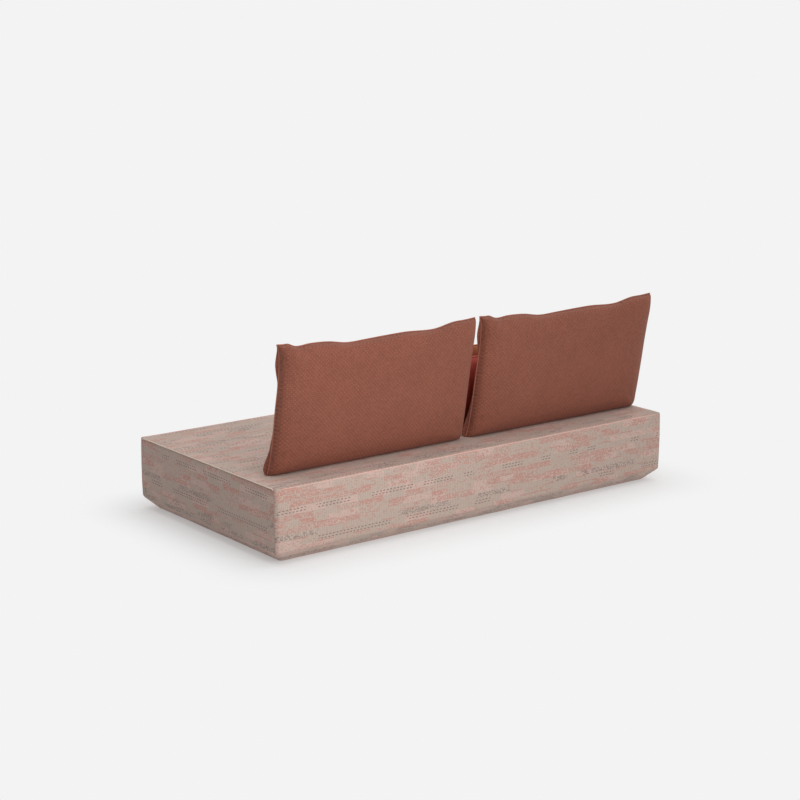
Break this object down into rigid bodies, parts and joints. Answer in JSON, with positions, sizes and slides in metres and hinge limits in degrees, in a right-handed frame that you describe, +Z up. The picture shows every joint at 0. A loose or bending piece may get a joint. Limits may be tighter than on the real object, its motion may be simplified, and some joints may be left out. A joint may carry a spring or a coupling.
{
  "type": "sofa bed",
  "caption": "Low upholstered sofa bed: a flat mattress block with a bevelled foot, loose weighted back cushions and small lumbar cushions that lift off to clear the bed.",
  "frame": {"origin": "on the floor under the middle of the seat block", "axes": "+X towards the sitter's left end, -Y towards the front, +Z up"},
  "size_m": [2, 1, 0.816],
  "materials": {
    "seat_cloth": "matte",
    "cushion_cloth": "matte",
    "lumbar_red_cloth": "matte",
    "lumbar_orange_cloth": "matte",
    "wadding": "matte",
    "foam": "matte",
    "slat_wood": "satin",
    "softwood": "matte",
    "plywood": "matte",
    "zinc_steel": "satin",
    "spring_steel": "satin",
    "dust_cloth": "matte",
    "glide_plastic": "matte",
    "grip_rubber": "matte",
    "zip_tape": "matte",
    "zip_metal": "satin"
  },
  "bodies": {
    "seat": {"seat_cover_main": "seat_cloth", "seat_cover_end_left": "seat_cloth", "seat_cover_end_right": "seat_cloth", "seat_wadding": "wadding", "foam_topper": "foam", "foam_core": "foam", "slats": "slat_wood", "front_slat_ledger": "softwood", "back_slat_ledger": "softwood", "corner_blocks": "softwood", "front_side_board": "plywood", "back_side_board": "plywood", "left_end_board": "plywood", "right_end_board": "plywood", "front_bevel_board": "plywood", "back_bevel_board": "plywood", "left_bevel_board": "plywood", "right_bevel_board": "plywood", "front_plinth_rail": "plywood", "back_plinth_rail": "plywood", "left_plinth_rail": "plywood", "right_plinth_rail": "plywood", "centre_plinth_rail": "plywood", "cross_bearers": "plywood", "frame_screws": "zinc_steel", "glide_screws": "zinc_steel", "dust_cover": "dust_cloth", "glides": "glide_plastic"},
    "back_cushion_left": {"back_cushion_left_cover": "cushion_cloth", "back_cushion_left_filling": "foam", "back_cushion_left_stay": "spring_steel", "back_cushion_left_ballast": "spring_steel", "back_cushion_left_rivets": "zinc_steel", "back_cushion_left_grip_mat": "grip_rubber", "back_cushion_left_zip": "zip_tape"},
    "back_cushion_left_zip_slider": {"back_cushion_left_zip_slider": "zip_metal"},
    "back_cushion_right": {"back_cushion_right_cover": "cushion_cloth", "back_cushion_right_filling": "foam", "back_cushion_right_stay": "spring_steel", "back_cushion_right_ballast": "spring_steel", "back_cushion_right_rivets": "zinc_steel", "back_cushion_right_grip_mat": "grip_rubber", "back_cushion_right_zip": "zip_tape"},
    "back_cushion_right_zip_slider": {"back_cushion_right_zip_slider": "zip_metal"},
    "lumbar_rear": {"lumbar_rear_cover": "lumbar_red_cloth", "lumbar_rear_pad": "foam"},
    "lumbar_front": {"lumbar_front_cover": "lumbar_orange_cloth", "lumbar_front_pad": "foam"}
  },
  "joints": [
    {"name": "back_cushion_left_lift", "type": "slide", "parent": "seat", "child": "back_cushion_left", "axis": [0, 0.342, 0.9397], "range_m": [0, 0.6]},
    {"name": "back_cushion_left_zip_pull", "type": "slide", "parent": "back_cushion_left", "child": "back_cushion_left_zip_slider", "axis": [1, 0, 0], "range_m": [0, 0.54]},
    {"name": "back_cushion_right_lift", "type": "slide", "parent": "seat", "child": "back_cushion_right", "axis": [0, 0.342, 0.9397], "range_m": [0, 0.6]},
    {"name": "back_cushion_right_zip_pull", "type": "slide", "parent": "back_cushion_right", "child": "back_cushion_right_zip_slider", "axis": [1, 0, 0], "range_m": [0, 0.54]},
    {"name": "lumbar_rear_lift", "type": "slide", "parent": "seat", "child": "lumbar_rear", "axis": [0, 0.2079, 0.9781], "range_m": [0, 0.45]},
    {"name": "lumbar_front_lift", "type": "slide", "parent": "seat", "child": "lumbar_front", "axis": [0, 0.2079, 0.9781], "range_m": [0, 0.45]}
  ]
}
